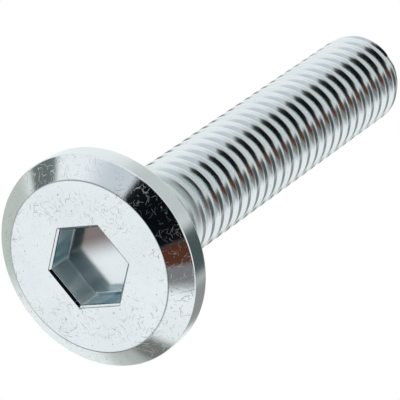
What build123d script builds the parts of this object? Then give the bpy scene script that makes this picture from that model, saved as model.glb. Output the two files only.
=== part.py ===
from build123d import *
import math
import os

# Furniture connector bolt in millimetres: a wide flat bevelled head with a
# hexagon socket, and a shank threaded all the way to the head.
# It stands on the flat face of its head. The origin is the middle of that
# face and +Z runs along the shank to the tip.

# Head
HEAD_DIAMETER = 17.0
HEAD_THICKNESS = 2.8
FACE_DIAMETER = 13.74       # flat part of the face, inside the bevel
BEVEL_DEPTH = 1.2           # how far the bevel runs down the side
REAR_EDGE_CHAMFER = 0.15    # broken edge at the back of the rim

# Hexagon socket, formed by a punch
KEY_ACROSS_FLATS = 6.0
SOCKET_WALL_DEPTH = 2.2     # depth of the walls at the six corners
SOCKET_CONE_DEPTH = 1.3     # depth of the cone below the corners
SOCKET_MOUTH_CHAMFER = 0.2

# Shank and thread, 5/16-18 unified, right-hand
THREAD_DIAMETER = 7.8
THREAD_PITCH = 25.4 / 18
THREAD_ANGLE = 60
CREST_WIDTH = 0.2
SIDES_PER_TURN = 24         # the thread turns in short straight runs
LENGTH_UNDER_HEAD = 41.3
TIP_DIAMETER = 7.0
TIP_CHAMFER_ANGLE = 54      # between the chamfer and the end face
NECK_DIAMETER = 7.56        # beside the head the roots rise to this
NECK_FOOT_DIAMETER = 8.3    # where the neck flares out to meet the head
NECK_FLARE_HEIGHT = 0.3
RUNOUT_LENGTH = 3.1         # length over which the roots sink to full depth

# Worked out from the sizes above
CREST_RADIUS = THREAD_DIAMETER / 2
THREAD_DEPTH = 0.6134 * THREAD_PITCH
ROOT_RADIUS = CREST_RADIUS - THREAD_DEPTH
HEAD_RADIUS = HEAD_DIAMETER / 2
TOTAL_LENGTH = HEAD_THICKNESS + LENGTH_UNDER_HEAD
NECK_RADIUS = NECK_DIAMETER / 2
NECK_FOOT_RADIUS = NECK_FOOT_DIAMETER / 2
HEX_CORNER_RADIUS = KEY_ACROSS_FLATS / math.sqrt(3)
MOUTH_CORNER_RADIUS = HEX_CORNER_RADIUS + SOCKET_MOUTH_CHAMFER * 2 / math.sqrt(3)
SOCKET_DEPTH = SOCKET_WALL_DEPTH + SOCKET_CONE_DEPTH
CONE_SLOPE = SOCKET_CONE_DEPTH / HEX_CORNER_RADIUS
TIP_SLOPE = math.tan(math.radians(TIP_CHAMFER_ANGLE))
SPARE = 1.0                 # how far tools reach past what they cut
SUNK = 0.5                  # how far the neck starts inside the head
FOOT_SUNK = 0.12            # how far the ridge's foot lies inside the core

# One ridge of the thread stands on the core. Its foot is sunk a little into
# the core, and its two flanks meet the crest at the thread's angle.
RIDGE_HEIGHT = THREAD_DEPTH + FOOT_SUNK
FOOT_HALF = CREST_WIDTH / 2 + RIDGE_HEIGHT * math.tan(math.radians(THREAD_ANGLE / 2))

# Each run of the ridge is one side of a regular polygon whose corners lie on
# the crest, and rises by its share of the pitch.
half_side = math.pi / SIDES_PER_TURN
side_apothem = CREST_RADIUS * math.cos(half_side)
side_length = 2 * CREST_RADIUS * math.sin(half_side)
side_rise = THREAD_PITCH / SIDES_PER_TURN
rise_angle = math.atan2(side_rise, side_length)

# The ridge starts inside the head and goes on past the tip, in whole turns.
ridge_start = HEAD_THICKNESS - 0.9 * THREAD_PITCH
core_start = ridge_start - FOOT_HALF
turn_count = math.ceil((TOTAL_LENGTH + FOOT_HALF - ridge_start) / THREAD_PITCH)
core_end = ridge_start + turn_count * THREAD_PITCH + SPARE

with BuildPart() as run:
    along = (0, -math.cos(rise_angle), -math.sin(rise_angle))
    with BuildSketch(Plane(origin=(side_apothem, 0, 0), x_dir=(1, 0, 0), z_dir=along)):
        with BuildLine():
            Polyline(
                (-RIDGE_HEIGHT, -FOOT_HALF),
                (0, -CREST_WIDTH / 2),
                (0, CREST_WIDTH / 2),
                (-RIDGE_HEIGHT, FOOT_HALF),
                close=True,
            )
        make_face()
    extrude(amount=side_length, both=True)
    # Both ends are mitred to meet the next run
    with BuildSketch():
        with BuildLine():
            reach = 2 * CREST_RADIUS
            Polyline(
                (0, 0),
                (reach, -reach * math.tan(half_side)),
                (reach, reach * math.tan(half_side)),
                close=True,
            )
        make_face()
    extrude(amount=THREAD_PITCH, both=True, mode=Mode.INTERSECT)

with BuildPart() as turn:
    for side in range(SIDES_PER_TURN):
        with Locations(Location((0, 0, side * side_rise), (0, 0, 360 * side / SIDES_PER_TURN))):
            add(run.part)

# The punch that forms the socket: a hexagon whose end is turned to a cone, so
# the cone meets the six walls in shallow arcs and the corners end first. The
# small chamfer round the socket's mouth goes with it.
with BuildPart() as punch:
    with BuildSketch():
        RegularPolygon(HEX_CORNER_RADIUS, 6)
    extrude(amount=SOCKET_DEPTH)
    with BuildSketch(Plane.XZ):
        with BuildLine():
            wide = HEX_CORNER_RADIUS + SPARE
            Polyline(
                (0, -SPARE),
                (wide, -SPARE),
                (wide, SOCKET_WALL_DEPTH - SPARE * CONE_SLOPE),
                (0, SOCKET_DEPTH),
                close=True,
            )
        make_face()
    revolve(axis=Axis.Z, mode=Mode.INTERSECT)
    with BuildSketch():
        RegularPolygon(MOUTH_CORNER_RADIUS, 6)
    extrude(amount=SOCKET_MOUTH_CHAMFER, taper=45)

# What is cut away at the tip: all past the square end, and a chamfer that
# takes the last turn of the thread down.
with BuildPart() as tip_waste:
    with BuildSketch(Plane.XZ):
        with BuildLine():
            wide = CREST_RADIUS + SPARE
            Polyline(
                (0, TOTAL_LENGTH),
                (TIP_DIAMETER / 2, TOTAL_LENGTH),
                (wide, TOTAL_LENGTH - (wide - TIP_DIAMETER / 2) * TIP_SLOPE),
                (wide, core_end + SPARE),
                (0, core_end + SPARE),
                close=True,
            )
        make_face()
    revolve(axis=Axis.Z)

with BuildPart() as bolt:
    # The head: flat face, bevel, short rim and a broken rear edge
    with BuildSketch(Plane.XZ):
        with BuildLine():
            Polyline(
                (0, 0),
                (FACE_DIAMETER / 2, 0),
                (HEAD_RADIUS, BEVEL_DEPTH),
                (HEAD_RADIUS, HEAD_THICKNESS - REAR_EDGE_CHAMFER),
                (HEAD_RADIUS - REAR_EDGE_CHAMFER, HEAD_THICKNESS),
                (0, HEAD_THICKNESS),
                close=True,
            )
        make_face()
    revolve(axis=Axis.Z)

    # The core of the shank, with as many sides as one turn of the ridge
    with BuildSketch(Plane.XY.offset(core_start)):
        RegularPolygon(ROOT_RADIUS / math.cos(half_side), SIDES_PER_TURN, rotation=180 / SIDES_PER_TURN)
    extrude(amount=core_end - core_start)

    # Under the head the shank flares out over the thread's crests, and beyond
    # this neck the roots sink to full depth, so the thread runs out there
    flare_slope = (NECK_FOOT_RADIUS - NECK_RADIUS) / NECK_FLARE_HEIGHT
    with BuildSketch(Plane.XY.offset(HEAD_THICKNESS - SUNK)):
        RegularPolygon(NECK_FOOT_RADIUS + SUNK * flare_slope, SIDES_PER_TURN, rotation=180 / SIDES_PER_TURN)
    extrude(amount=SUNK + NECK_FLARE_HEIGHT, taper=math.degrees(math.atan(flare_slope * math.cos(half_side))))
    neck_slope = (NECK_RADIUS - ROOT_RADIUS) / RUNOUT_LENGTH
    with BuildSketch(Plane.XY.offset(HEAD_THICKNESS)):
        RegularPolygon(NECK_RADIUS + NECK_FLARE_HEIGHT * neck_slope, SIDES_PER_TURN, rotation=180 / SIDES_PER_TURN)
    extrude(amount=RUNOUT_LENGTH + SUNK, taper=math.degrees(math.atan(neck_slope)))

    # The turns of the thread, end to end
    with Locations(*[(0, 0, ridge_start + i * THREAD_PITCH) for i in range(turn_count)]):
        add(turn.part)

    # The socket and the tip are cut together
    add([punch.part, tip_waste.part], mode=Mode.SUBTRACT)

bolt.part.label = "bolt"
os.makedirs("parts", exist_ok=True)
export_step(bolt.part, "parts/bolt.step")
print(f"one turn of the ridge: {turn.part.volume:.2f} cubic mm, punch: {punch.part.volume:.1f} cubic mm")
print(f"bolt: {bolt.part.volume:.1f} cubic mm, {len(bolt.part.solids())} solid, valid {bolt.part.is_valid}")
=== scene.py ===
# %% [markdown]
# # Furniture connector bolt
# This lesson dresses one small part: a zinc-plated bolt with a wide flat head,
# a hexagon socket and a thread that runs all the way up to the head.
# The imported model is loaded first. It is the frame: the overall sizes are read
# from it, and the finer ones are the bolt's real sizes, in metres.

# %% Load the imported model
import math
import bpy
from mathutils import Matrix, Vector


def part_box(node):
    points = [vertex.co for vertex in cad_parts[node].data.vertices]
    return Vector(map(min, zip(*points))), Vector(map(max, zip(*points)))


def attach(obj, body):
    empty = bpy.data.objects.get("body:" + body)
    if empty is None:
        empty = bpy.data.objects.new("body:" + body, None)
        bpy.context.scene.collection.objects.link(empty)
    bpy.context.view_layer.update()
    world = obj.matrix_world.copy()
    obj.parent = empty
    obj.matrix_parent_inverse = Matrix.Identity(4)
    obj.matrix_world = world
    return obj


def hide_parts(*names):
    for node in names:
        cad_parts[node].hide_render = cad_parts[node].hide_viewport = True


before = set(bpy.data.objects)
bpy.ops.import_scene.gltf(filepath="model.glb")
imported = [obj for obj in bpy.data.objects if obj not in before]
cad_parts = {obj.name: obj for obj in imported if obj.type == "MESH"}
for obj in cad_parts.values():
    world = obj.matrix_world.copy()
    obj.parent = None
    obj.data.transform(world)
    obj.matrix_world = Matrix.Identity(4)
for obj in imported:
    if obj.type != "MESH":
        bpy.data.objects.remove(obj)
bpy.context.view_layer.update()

low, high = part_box("bolt")
head_radius = high[0]
bolt_length = high[2]
print("head radius", round(head_radius, 5), "length", round(bolt_length, 5))

# %% [markdown]
# ## The head
# A real head is pressed in a die and its socket is punched, so every edge is a
# little soft, and the soft edges catch thin bright lines. It could be cut out
# of a disc with booleans, but the cuts would leave long thin faces that mirror
# badly. So the head is a stack of rings with the same number of points, skinned
# one to the next. The rings start at the bottom of the socket, climb its walls,
# cross the flat face and go round the bevel and the rim to the back of the head.

# %% Sizes of the head and its socket
MM = 0.001
head_thickness = 2.8 * MM
face_radius = 6.87 * MM
bevel_depth = 1.2 * MM
neck_foot_radius = 4.15 * MM
socket_flat = 3.0 * MM          # from the axis to a side of the hexagon
socket_wall_depth = 2.3 * MM
socket_floor_dish = 0.03 * MM   # the floor is this much deeper at its middle
foot_round = 0.22 * MM          # rounding where the walls meet the floor
mouth_chamfer = 0.2 * MM
mouth_flat = socket_flat + mouth_chamfer
bevel_angle = math.degrees(math.atan2(bevel_depth, head_radius - face_radius))
print("the bevel slopes by", round(bevel_angle, 1), "degrees")

# %% Ring helpers
ring_points = 288
turns = [2 * math.pi * i / ring_points for i in range(ring_points)]


def hex_reach(turn):
    """How far a hexagon's side is from the axis in this direction, when its flats are at 1."""
    return 1 / math.cos(turn % (math.pi / 3) - math.pi / 6)


def ring_of(radius_at, height_at):
    """A ring whose radius follows the direction and whose height follows the radius."""
    ring = []
    for turn in turns:
        radius = radius_at(turn)
        ring.append((radius * math.cos(turn), radius * math.sin(turn), height_at(radius)))
    return ring


def hex_ring(flat, height):
    return ring_of(lambda turn: flat * hex_reach(turn), lambda radius: height)


def round_ring(radius, height):
    return ring_of(lambda turn: radius, lambda r: height)


corner_radius = socket_flat * hex_reach(0)
print("corners of the socket at", round(corner_radius / MM, 3), "mm from the axis")

# %% Rings of the socket, from the floor's middle to the mouth
floor_slope = socket_floor_dish / corner_radius


def floor_height(radius):
    return socket_wall_depth + (corner_radius - radius) * floor_slope


rings = []
for share in (0.2, 0.4, 0.6, 0.8):
    rings.append(ring_of(lambda turn: socket_flat * share * hex_reach(turn), floor_height))
for bend in (0, 22.5, 45, 67.5, 90):
    inset = foot_round * (1 - math.sin(math.radians(bend)))
    lift = foot_round * (1 - math.cos(math.radians(bend)))
    rings.append(
        ring_of(
            lambda turn: (socket_flat - inset) * hex_reach(turn),
            lambda radius: floor_height(radius) - lift,
        )
    )
for depth in (2.0, 1.6, 1.1, 0.6, 0.26):
    rings.append(hex_ring(socket_flat, depth * MM))
rings.append(hex_ring(socket_flat + 0.015 * MM, mouth_chamfer))
rings.append(hex_ring(socket_flat + mouth_chamfer / 2, mouth_chamfer / 2))
rings.append(hex_ring(mouth_flat - 0.02 * MM, 0.02 * MM))
print("rings in the socket", len(rings))

# %% Rings of the flat face, from the hexagon to the round edge
face_edge = face_radius - 0.12 * MM
for share in (0.015, 0.04, 0.25, 0.5, 0.75, 0.97, 1.0):
    rings.append(
        ring_of(
            lambda turn: (1 - share) * mouth_flat * hex_reach(turn) + share * face_edge,
            lambda radius: 0.0,
        )
    )
print("rings so far", len(rings))


# %% Rounding the corners of a profile
def rounded(corners, radii, steps=4):
    """Points along a profile. Each corner is replaced by an arc of its radius."""
    points = []
    for i, corner in enumerate(corners):
        here = Vector(corner)
        if radii[i] == 0:
            points.append(here)
            continue
        before = (Vector(corners[i - 1]) - here).normalized()
        after = (Vector(corners[i + 1]) - here).normalized()
        half = before.angle(after) / 2
        centre = here + (before + after).normalized() * radii[i] / math.sin(half)
        first = here + before * radii[i] / math.tan(half) - centre
        last = here + after * radii[i] / math.tan(half) - centre
        for k in range(steps + 1):
            points.append(centre + first.lerp(last, k / steps).normalized() * radii[i])
    return points


# %% Rings of the bevel, the rim and the back of the head
profile_corners = [
    (face_edge, 0.0),
    (face_radius, 0.0),
    (head_radius, bevel_depth),
    (head_radius, head_thickness),
    (neck_foot_radius, head_thickness),
]
outline = rounded(profile_corners, [0, 0.1 * MM, 0.14 * MM, 0.14 * MM, 0])
long_stretch = 0.5 * MM         # stretches longer than this get rings of their own
for before, point in zip(outline, outline[1:]):
    if (point - before).length > long_stretch:
        for share in (0.05, 0.5, 0.95):
            rings.append(round_ring(*before.lerp(point, share)))
    rings.append(round_ring(*point))
print("points on the outline", len(outline), "rings in the head", len(rings))

# %% [markdown]
# The stack is closed inside the shank, just above the socket's floor, where
# nobody can see it. So the head is a closed solid by itself.

# %% Skin the rings into the head
closing_height = head_thickness + 0.9 * MM
points = [(0.0, 0.0, floor_height(0.0))]
for ring in rings:
    points += ring
points.append((0.0, 0.0, closing_height))
faces = []
last_ring = 1 + (len(rings) - 1) * ring_points
for i in range(ring_points):
    j = (i + 1) % ring_points
    faces.append((0, 1 + j, 1 + i))
    for a in range(1, last_ring, ring_points):
        b = a + ring_points
        faces.append((a + i, a + j, b + j, b + i))
    faces.append((last_ring + i, last_ring + j, len(points) - 1))
mesh = bpy.data.meshes.new("bolt_body")
mesh.from_pydata(points, [], faces)
mesh.update()
draft = bpy.data.objects.new("bolt_draft", mesh)
bpy.context.collection.objects.link(draft)
print("faces in the head", len(mesh.polygons))

# %% [markdown]
# ## Arithmetic on sockets
# Node trees are easier to read as formulas. A Val holds one output socket, and
# its operators add Math nodes to the tree that it belongs to. It works in
# Geometry Nodes and in shaders, because both use the same Math node. Every
# other node comes from the node function.


# %% A class that turns formulas into nodes
class Val:
    def __init__(self, tree, socket):
        self.tree = tree
        self.socket = socket

    def out(self, name):
        """Another output of the same node."""
        return Val(self.tree, self.socket.node.outputs[name])

    def math(self, operation, *others):
        """One Math node with this value first. The others are numbers or Vals."""
        values = list(enumerate((self, *others)))
        return node(self.tree, "ShaderNodeMath", inputs=values, operation=operation)

    def __add__(self, other):
        return self.math("ADD", other)

    __radd__ = __add__

    def __mul__(self, other):
        return self.math("MULTIPLY", other)

    __rmul__ = __mul__

    def __sub__(self, other):
        return self.math("SUBTRACT", other)

    def __rsub__(self, other):
        return (self * -1) + other

    def __truediv__(self, other):
        return self.math("DIVIDE", other)

    def __lt__(self, other):
        return self.math("LESS_THAN", other)


# %% Any other node
def plug(tree, slot, value):
    """Sets an input to a number, a colour or a vector, or links a Val to it."""
    if isinstance(value, Val):
        tree.links.new(value.socket, slot)
    else:
        slot.default_value = value


def node(tree, kind, out=0, inputs=(), **settings):
    """A node with its settings made first. inputs gives (name or number, value) pairs."""
    made = tree.nodes.new(kind)
    for name, value in settings.items():
        setattr(made, name, value)
    for name, value in inputs:
        plug(tree, made.inputs[name], value)
    if made.outputs:
        return Val(tree, made.outputs[out])


def blend(tree, amount, under, over):
    """The colour under, with the colour over laid on it by amount."""
    colours = [(0, amount), (6, under), (7, over)]
    return node(tree, "ShaderNodeMix", out=2, inputs=colours, data_type="RGBA")


# %% [markdown]
# ## The thread
# The real thread is rolled between two dies, so its crests are rounded and its
# roots are smooth. It could be swept along a helix, but a sweep needs a cut at
# each end. A thread follows one rule, so Geometry Nodes make it. A grid is
# rolled into a tube, and each of its rows climbs one pitch per turn, along with
# the thread. The radius of a point depends only on how far it is from the
# crest. Near the head the roots rise to the neck, and at the tip a chamfer
# takes the last turn down. Rows past either end are drawn in towards the axis
# and close the tube. Where the first and last columns meet they fall on the
# same points, so merging by distance closes the seam, but for one gap without
# any area, hidden inside the head. The width of the crests and the long run-out
# were chosen to give the photograph's bands.

# %% Sizes of the thread
pitch = 25.4 / 18 * MM
crest_radius = 3.9 * MM
thread_depth = 0.6134 * pitch
thread_sizes = {
    "Crest Radius": crest_radius,
    "Root Radius": crest_radius - thread_depth,
    "Pitch": pitch,
    "Start": head_thickness - 0.3 * MM,
    "Length": bolt_length,
    "First Crest": head_thickness - 0.9 * pitch,
    "Crest Half Width": 0.27 * MM,
    "Neck Radius": 3.83 * MM,
    "Neck Start": head_thickness,
    "Runout": 9.0 * MM,
    "Tip Radius": 3.5 * MM,
    "Tip Slope": math.tan(math.radians(54)),
    "Softness": 0.12 * MM,
}
print("turns of thread", round((bolt_length - head_thickness) / pitch, 1))

# %% The tree and its inputs
thread_tree = bpy.data.node_groups.new("rolled_thread", "GeometryNodeTree")
thread_tree.interface.new_socket("Geometry", in_out="INPUT", socket_type="NodeSocketGeometry")
thread_tree.interface.new_socket("Geometry", in_out="OUTPUT", socket_type="NodeSocketGeometry")
for name in thread_sizes:
    thread_tree.interface.new_socket(name, in_out="INPUT", socket_type="NodeSocketFloat")
thread_tree.interface.new_socket("Material", in_out="INPUT", socket_type="NodeSocketMaterial")
entry = node(thread_tree, "NodeGroupInput")
size = {name: entry.out(name) for name in thread_sizes}
print("inputs of the tree", len(size) + 2)

# %% The grid, and each point's place on the rolled strip
columns = 144
rows_per_pitch = 14
closing_rows = 5
row_rise = pitch / rows_per_pitch
straight_rows = math.ceil((bolt_length - thread_sizes["Start"]) / row_rise)
rows = rows_per_pitch + straight_rows + 2 * closing_rows
grid_counts = [("Vertices X", columns + 1), ("Vertices Y", rows)]
grid = node(thread_tree, "GeometryNodeMeshGrid", inputs=grid_counts)
index = node(thread_tree, "GeometryNodeInputIndex")
column = (index / rows + 0.0005).math("FLOOR")
row = index - column * rows
share_of_turn = column / columns
rise = size["Pitch"] / rows_per_pitch
first_row = size["Start"] - size["Pitch"] - rise * closing_rows
height = first_row + rise * row + size["Pitch"] * share_of_turn
flat_height = height.math("MAXIMUM", size["Start"]).math("MINIMUM", size["Length"])
print("grid", columns + 1, "by", rows)

# %% The thread's profile
crest_phase = (flat_height - size["First Crest"]) / size["Pitch"] - share_of_turn
from_crest = (crest_phase - (crest_phase + 0.5).math("FLOOR")).math("ABSOLUTE") * size["Pitch"]
flank = size["Crest Radius"] - (from_crest - size["Crest Half Width"]) * math.sqrt(3)
profile = flank.math("SMOOTH_MIN", size["Crest Radius"], size["Softness"] * 1.6)
profile = profile.math("SMOOTH_MAX", size["Root Radius"], size["Softness"])
past_neck = ((flat_height - size["Neck Start"]) / size["Runout"]).math("MINIMUM", 1.0)
sinking = past_neck.math("MAXIMUM", 0.0) * (size["Neck Radius"] - size["Root Radius"])
profile = profile.math("SMOOTH_MAX", size["Neck Radius"] - sinking, size["Softness"])
chamfer = size["Tip Radius"] + (size["Length"] - flat_height) / size["Tip Slope"]
profile = profile.math("MINIMUM", chamfer)
print("nodes for the profile", len(thread_tree.nodes))

# %% Rows past the ends close the tube
below = ((size["Start"] - height) / rise).math("MAXIMUM", 0.0).math("FLOOR")
above = ((height - size["Length"]) / rise).math("MAXIMUM", 0.0).math("FLOOR")
open_below = (1 - below / (closing_rows - 1)).math("MAXIMUM", 0.0)
open_above = (1 - above / (closing_rows - 1)).math("MAXIMUM", 0.0)
radius = profile * open_below * open_above
dome_height = 1.2 * MM          # the closed end inside the head rises by this
tube_height = flat_height + (1 - open_below) * dome_height
angle = share_of_turn * (2 * math.pi)
across = radius * angle.math("COSINE")
aside = radius * angle.math("SINE")
place = node(thread_tree, "ShaderNodeCombineXYZ", inputs=[("X", across), ("Y", aside), ("Z", tube_height)])
print("nodes with the closed ends", len(thread_tree.nodes))

# %% Roll the grid, close its seam and join it to the head
rolled = node(thread_tree, "GeometryNodeSetPosition", inputs=[("Geometry", grid), ("Position", place)])
welded = node(
    thread_tree,
    "GeometryNodeMergeByDistance",
    inputs=[("Geometry", rolled), ("Distance", 0.002 * MM)],
)
# A known fault: the rolled faces point outwards before this flip, and inwards after it.
flipped = node(thread_tree, "GeometryNodeFlipFaces", inputs=[("Mesh", welded)])
joined = node(
    thread_tree,
    "GeometryNodeJoinGeometry",
    inputs=[(0, flipped), (0, entry.out("Geometry"))],
)
real = node(thread_tree, "GeometryNodeRealizeInstances", inputs=[("Geometry", joined)])
painted = node(
    thread_tree,
    "GeometryNodeSetMaterial",
    inputs=[("Geometry", real), ("Material", entry.out("Material"))],
)
node(thread_tree, "NodeGroupOutput", inputs=[("Geometry", painted)])
print("nodes in the tree", len(thread_tree.nodes))

# %% [markdown]
# ## The finish
# Bright zinc plating is a thin mirror with a bluish tint. It picks up fine
# scratches in the tumbling barrel and tiny pits where the steel was pitted.
# A picture of scratches would need unwrapping and would repeat, so they are
# drawn by formulas. All patterns are set in the part's own coordinates, so
# they stay with it.

# %% The zinc material
zinc = bpy.data.materials.new("bright_zinc")
zinc.use_nodes = True
shade = zinc.node_tree
shader = shade.nodes["Principled BSDF"]
where = node(shade, "ShaderNodeTexCoord", out="Object")


def noise(scale, detail, stretch=(1, 1, 1), seed=(0, 0, 0)):
    """Noise over the part. Stretch below 1 draws it out along that axis."""
    mapped = node(
        shade,
        "ShaderNodeMapping",
        inputs=[("Vector", where), ("Location", seed), ("Scale", stretch)],
    )
    return node(
        shade,
        "ShaderNodeTexNoise",
        inputs=[("Vector", mapped), ("Scale", scale), ("Detail", detail), ("Roughness", 0.5)],
    )


def band(value, start, end):
    """0 below start, 1 above end, soft in between."""
    return node(
        shade,
        "ShaderNodeMapRange",
        inputs=[("Value", value), ("From Min", start), ("From Max", end)],
        interpolation_type="SMOOTHSTEP",
    )


print("the material is", zinc.name)

# %% Places on the bolt
spot = node(shade, "ShaderNodeSeparateXYZ", inputs=[(0, where)])
at_x = spot.out("X")
at_y = spot.out("Y")
at_z = spot.out("Z")
from_axis = (at_x * at_x + at_y * at_y).math("SQRT")
front = 1 - band(at_z, 1.1 * MM, 1.3 * MM)
on_bevel = band(from_axis, 6.8 * MM, 6.95 * MM)
near_head = band(at_z, 2.75 * MM, 2.85 * MM) * (1 - band(at_z, 8.5 * MM, 13.0 * MM))
print("nodes for the places", len(shade.nodes))

# %% [markdown]
# Each hairline is a short piece of a curve in one cell of a flat pattern. The
# cell's random colour says how the hairline is turned, how it bends and whether
# it is there at all. Four layers of cells of different sizes cross each other.


# %% Short curved hairlines
def hairs(scale, width, seed, share):
    """One short curved scratch in a share of the cells, each turned its own way."""
    half_length = 0.36
    most_bend = 1.5
    scaled = node(
        shade,
        "ShaderNodeMapping",
        inputs=[("Vector", where), ("Location", seed), ("Scale", (scale, scale, scale))],
    )
    cell = node(
        shade,
        "ShaderNodeTexVoronoi",
        out="Position",
        inputs=[("Vector", scaled), ("Scale", 1.0)],
        voronoi_dimensions="2D",
    )
    local = node(shade, "ShaderNodeVectorMath", inputs=[(0, scaled), (1, cell)], operation="SUBTRACT")
    parts = node(shade, "ShaderNodeSeparateXYZ", inputs=[(0, local)])
    chance = node(shade, "ShaderNodeSeparateColor", inputs=[(0, cell.out("Color"))])
    x = parts.out("X")
    y = parts.out("Y")
    turn_by = chance.out("Red") * (2 * math.pi)
    along = x * turn_by.math("COSINE") + y * turn_by.math("SINE")
    across = y * turn_by.math("COSINE") - x * turn_by.math("SINE")
    bend = (chance.out("Green") - 0.5) * (2 * most_bend)
    off_line = (across + bend * along * along).math("ABSOLUTE")
    on_line = 1 - band(off_line, width * 0.4, width)
    kept = chance.out("Blue") < share
    return on_line * (along.math("ABSOLUTE") < half_length) * kept


scratches = hairs(1500, 0.034, (0.3, 0.7, 0), 0.5)
for scale, seed in ((2100, (5.3, 1.1, 0)), (1250, (9.7, 4.9, 0)), (2900, (2.2, 8.6, 0))):
    scratches = scratches.math("MAXIMUM", hairs(scale, 0.036, seed, 0.45))
patchy = band(noise(240, 2.0, seed=(0.4, 0.1, 0)), 0.45, 0.62)
scratches = scratches * front * (0.15 + 0.85 * patchy.math("MAXIMUM", on_bevel * 0.45))
print("nodes with the hairlines", len(shade.nodes))

# %% Pits, clouds and grain
pits = band(noise(3000, 1.0), 0.69, 0.77) * (0.2 + 0.8 * front)
cloud = noise(180, 4.0)
grain = noise(5200, 1.0)
print("nodes in the finish", len(shade.nodes))

# %% [markdown]
# In the photograph both edges of the flat face show as fine dark lines, painted
# here as shade along the edges. Inside the socket the walls look greenish and
# less like a mirror, one of them paler, and one side of the floor looks
# brownish. The mirrored room alone didn't give these tones, so they are painted
# here as reflections in the socket. That the first turns by the head are duller
# is a guess.

# %% Edges and the socket
slanted = (at_x * 0.866).math("ABSOLUTE") + (at_y * 0.5).math("ABSOLUTE")
from_flats = slanted.math("MAXIMUM", at_y.math("ABSOLUTE"))
# Painted shade: a fine dark line along each edge of the flat face.
face_line = 1 - band((from_axis - face_radius).math("ABSOLUTE"), 0.03 * MM, 0.09 * MM)
mouth_line = 1 - band((from_flats - mouth_flat).math("ABSOLUTE"), 0.01 * MM, 0.06 * MM)
painted_edge_shade = face_line.math("MAXIMUM", mouth_line) * (1 - band(at_z, 0.08 * MM, 0.12 * MM))
inside = (1 - band(from_flats, 3.02 * MM, 3.08 * MM)) * (1 - band(at_z, 2.9 * MM, 3.0 * MM))
wall = inside * band(from_flats, 2.84 * MM, 2.94 * MM) * band(at_z, 0.22 * MM, 0.3 * MM)
# Painted reflection: the brown tone on one side of the socket's floor.
floor_reflection_side = inside * (1 - wall) * band(at_x + 0.4 * at_y, -0.4 * MM, 1.8 * MM)
# Painted reflection on the socket's walls, streaky and paler on one wall.
reflection_streaks = band(noise(620, 1.0, stretch=(1, 1, 0.25), seed=(0.2, 0.6, 0)), 0.42, 0.6)
paler_reflection_wall = 1 - band(at_y, -2.9 * MM, -2.5 * MM)
print("nodes with the socket", len(shade.nodes))

# %% Colour
pale_zinc = (0.75, 0.815, 0.825, 1)
blue_zinc = (0.70, 0.775, 0.785, 1)
worn_zinc = (0.16, 0.18, 0.19, 1)
# Painted reflections in the socket: brown on the floor, green and pale on the walls.
brown_floor_reflection = (0.20, 0.175, 0.168, 1)
green_wall_reflection = (0.15, 0.35, 0.41, 1)
pale_wall_reflection = (0.88, 1.0, 1.0, 1)
# Tone of the painted shade along the edges of the flat face.
edge_shade_tone = (0.08, 0.09, 0.09, 1)
colour = blend(shade, band(cloud, 0.35, 0.65), blue_zinc, pale_zinc)
colour = blend(shade, (pits * 0.4).math("MAXIMUM", scratches * 0.5), colour, worn_zinc)
# The floor's painted reflection.
colour = blend(shade, floor_reflection_side, colour, brown_floor_reflection)
# The walls' painted reflection.
wall_reflection_colour = blend(shade, reflection_streaks * 0.4 + paler_reflection_wall * 0.6, green_wall_reflection, pale_wall_reflection)
colour = blend(shade, wall, colour, wall_reflection_colour)
# The painted shade along the edges.
colour = blend(shade, painted_edge_shade * (0.25 + 0.4 * cloud), colour, edge_shade_tone)
plug(shade, shader.inputs["Base Color"], colour)
print("nodes with the colours", len(shade.nodes))

# %% Metal, roughness and fine relief
# The socket's walls are less metallic, so their painted reflection shows.
plug(shade, shader.inputs["Metallic"], 1 - 0.7 * wall)
polish = 0.06 + 0.05 * cloud + 0.07 * (1 - front) + 0.22 * wall + 0.24 * near_head
plug(shade, shader.inputs["Roughness"], polish + 0.45 * scratches + 0.3 * pits)
relief_height = grain * 0.5 - scratches - pits
relief = node(
    shade,
    "ShaderNodeBump",
    inputs=[("Strength", 0.12), ("Distance", 0.02 * MM), ("Height", relief_height)],
)
plug(shade, shader.inputs["Normal"], relief)
print("nodes in the whole material", len(shade.nodes))

# %% [markdown]
# ## The finished piece
# The tree is run once and its result is kept as a plain mesh. Its faces are
# smooth except over sharp edges and on the tip's end face, which is flat. Then
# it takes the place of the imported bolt.

# %% Run the tree and keep its result as a plain mesh
maker = draft.modifiers.new("rolled_thread", "NODES")
maker.node_group = thread_tree
for item in thread_tree.interface.items_tree:
    if item.in_out == "INPUT" and item.name in thread_sizes:
        maker[item.identifier] = thread_sizes[item.name]
    if item.in_out == "INPUT" and item.name == "Material":
        maker[item.identifier] = zinc
bpy.context.view_layer.update()
made = draft.evaluated_get(bpy.context.evaluated_depsgraph_get())
body_mesh = bpy.data.meshes.new_from_object(made)
draft.modifiers.clear()
body = bpy.data.objects.new("bolt_body", body_mesh)
bpy.context.collection.objects.link(body)
bpy.data.objects.remove(draft)
for polygon in body_mesh.polygons:
    polygon.use_smooth = polygon.center.z < bolt_length - 0.01 * MM
body_mesh.set_sharp_from_angle(angle=math.radians(32))
body_mesh.calc_loop_triangles()
print("triangles", len(body_mesh.loop_triangles))

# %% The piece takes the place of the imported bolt
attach(body, "root")
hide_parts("bolt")
print("pieces", body.name)

# %% [markdown]
# ## Camera, floor and light
# The photograph shows the bolt lying with its head towards us. In the frame it
# stands on its head, so the camera looks up at it from below the floor. The
# floor therefore shows only its upper side: seen from below it is clear.

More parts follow.
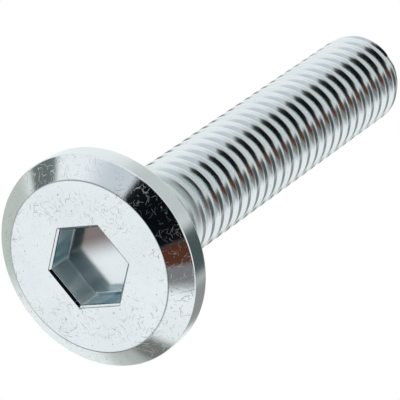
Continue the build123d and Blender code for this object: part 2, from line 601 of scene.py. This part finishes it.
# %% The camera
eye = Vector((-13.9866, 147.0237, -175.6688)) * MM
ahead = Vector((0.054928, -0.608333, 0.791779))
upward = Vector((0.772729, 0.528099, 0.352138))
sideways = ahead.cross(upward).normalized()
camera_data = bpy.data.cameras.new("camera")
camera_data.sensor_width = 36
camera_data.lens = 278.357
camera_data.clip_start = 0.01
camera_data.clip_end = 10
camera = bpy.data.objects.new("camera", camera_data)
bpy.context.collection.objects.link(camera)
turned = Matrix((sideways, sideways.cross(ahead), -ahead)).transposed()
camera.matrix_world = Matrix.Translation(eye) @ turned.to_4x4()
bpy.context.scene.camera = camera
print("camera", [round(x, 4) for x in eye])

# %% The floor
reach = 1.5
floor_corners = [(-reach, -reach, 0), (reach, -reach, 0), (reach, reach, 0), (-reach, reach, 0)]
floor_mesh = bpy.data.meshes.new("floor")
floor_mesh.from_pydata(floor_corners, [], [(0, 1, 2, 3)])
floor = bpy.data.objects.new("floor", floor_mesh)
floor.location = (0, 0, -0.02 * MM)
bpy.context.collection.objects.link(floor)
paper = bpy.data.materials.new("pale_floor")
paper.use_nodes = True
sheet = paper.node_tree
paper_shader = sheet.nodes["Principled BSDF"]
plug(sheet, paper_shader.inputs["Base Color"], (0.86, 0.87, 0.88, 1))
plug(sheet, paper_shader.inputs["Roughness"], 0.6)
camera_sees = node(sheet, "ShaderNodeLightPath", out="Is Camera Ray")
underside = node(sheet, "ShaderNodeNewGeometry", out="Backfacing")
clear = node(sheet, "ShaderNodeBsdfTransparent")
mixed = node(
    sheet,
    "ShaderNodeMixShader",
    inputs=[(0, camera_sees * (1 - underside)), (1, clear), (2, Val(sheet, paper_shader.outputs[0]))],
)
plug(sheet, sheet.nodes["Material Output"].inputs["Surface"], mixed)
floor_mesh.materials.append(paper)
print("floor at", round(floor.location.z / MM, 3), "mm")

# %% [markdown]
# Bright plating mirrors whatever stands round it, and the photograph doesn't
# show what that was. So the room is white, with soft-edged patches in it. Their
# directions and tones were chosen until the bolt mirrored them as in
# the photograph, seen from its own camera, so each is named after a place where
# it shows from there. Lamps and cards could stand for them, but a sky casts no
# hard shadow. A patch is given by its direction and its height in degrees. The
# camera itself sees plain white.

# %% Directions in the room
world = bpy.data.worlds.new("white_room")
bpy.context.scene.world = world
world.use_nodes = True
sky = world.node_tree
looking = node(sky, "ShaderNodeTexCoord", out="Generated")
toward = node(sky, "ShaderNodeSeparateXYZ", inputs=[(0, looking)])
bearing = toward.out("Y").math("ARCTAN2", toward.out("X")) * (180 / math.pi)
altitude = toward.out("Z").math("ARCSINE") * (180 / math.pi)


def step(value, edge, soft):
    """0 below the edge, 1 above it."""
    return node(
        sky,
        "ShaderNodeMapRange",
        inputs=[("Value", value), ("From Min", edge - soft), ("From Max", edge + soft)],
        interpolation_type="SMOOTHSTEP",
    )


def patch(centre, half_width, lowest, highest, soft_side, soft_height):
    """1 inside a patch of the sky round a bearing, between two altitudes, soft at its edges."""
    gap = ((bearing - centre + 540) / 360).math("FRACT") * 360 - 180
    side = 1 - step(gap.math("ABSOLUTE"), half_width, soft_side)
    return side * step(altitude, lowest, soft_height) * (1 - step(altitude, highest, soft_height))


print("nodes for the directions", len(sky.nodes))

# %% The white room and its low side
room = (1.0, 1.0, 1.0, 1)
room = blend(sky, step(-1 * altitude, 20, 20), room, (1.05, 1.03, 1.05, 1))
room = blend(sky, patch(26, 26, -78, -40, 14, 6), room, (0.69, 0.71, 0.76, 1))
room = blend(sky, step(-1 * altitude, 76, 5), room, (0.10, 0.17, 0.19, 1))
print("nodes in the empty room", len(sky.nodes))

# %% The patches in the room
# Bearing, half width, lowest and highest altitude, soft side, soft height, colour
patches = [
    ("left wall of the socket", (-155, 26, -90, -48, 8, 4), (0.09, 0.15, 0.16)),
    ("bottom wall of the socket", (-35, 24, -90, -48, 8, 4), (0.30, 0.38, 0.42)),
    ("grey band on the right of the bevel", (162, 12, -76, -36, 8, 6), (0.24, 0.235, 0.245)),
    ("brown band on the bevel and the thread", (141, 13, -80, -36, 4, 6), (0.11, 0.035, 0.018)),
    ("black band on the bevel and the thread", (90, 41, -90, -44, 4, 5), (0.003, 0.004, 0.006)),
    ("black band, its higher part", (86, 26, -60, -8, 6, 4), (0.003, 0.004, 0.006)),
    ("bottom of the bevel", (-122, 18, -10, 7, 6, 4), (0.66, 0.66, 0.63)),
    ("bottom of the bevel, its darker end", (-134, 10, -18, -4, 5, 4), (0.22, 0.22, 0.20)),
    ("low on the far side", (-104, 16, -34, -2, 7, 5), (0.16, 0.12, 0.11)),
    ("dark place on the upper left of the bevel", (-27, 10, -24, -9, 3, 3), (0.17, 0.19, 0.185)),
    ("left of the bevel", (-58, 22, -8, 30, 6, 5), (0.60, 0.62, 0.57)),
    ("upper right of the rim, and the crests", (75, 45, 30, 80, 20, 8), (0.66, 0.67, 0.66)),
    ("lower rim", (-155, 30, 30, 80, 12, 8), (0.32, 0.32, 0.31)),
    ("right of the rim", (146, 26, 30, 75, 8, 6), (0.08, 0.10, 0.10)),
]
for title, extent, tone in patches:
    room = blend(sky, patch(*extent), room, (*tone, 1))
camera_sees = node(sky, "ShaderNodeLightPath", out="Is Camera Ray")
room = blend(sky, camera_sees, room, (1, 1, 1, 1))
plug(sky, sky.nodes["Background"].inputs["Color"], room)
plug(sky, sky.nodes["Background"].inputs["Strength"], 1.0)
print("patches in the room:", ", ".join(title for title, extent, tone in patches))

# %% [markdown]
# ## Render settings
# The picture has the photograph's size.

# %% Render settings
scene = bpy.context.scene
scene.render.engine = "CYCLES"
scene.cycles.samples = 160
scene.cycles.use_denoising = True
scene.render.resolution_x = 400
scene.render.resolution_y = 400
scene.view_settings.view_transform = "Standard"
scene.view_settings.look = "None"
print("samples", scene.cycles.samples)
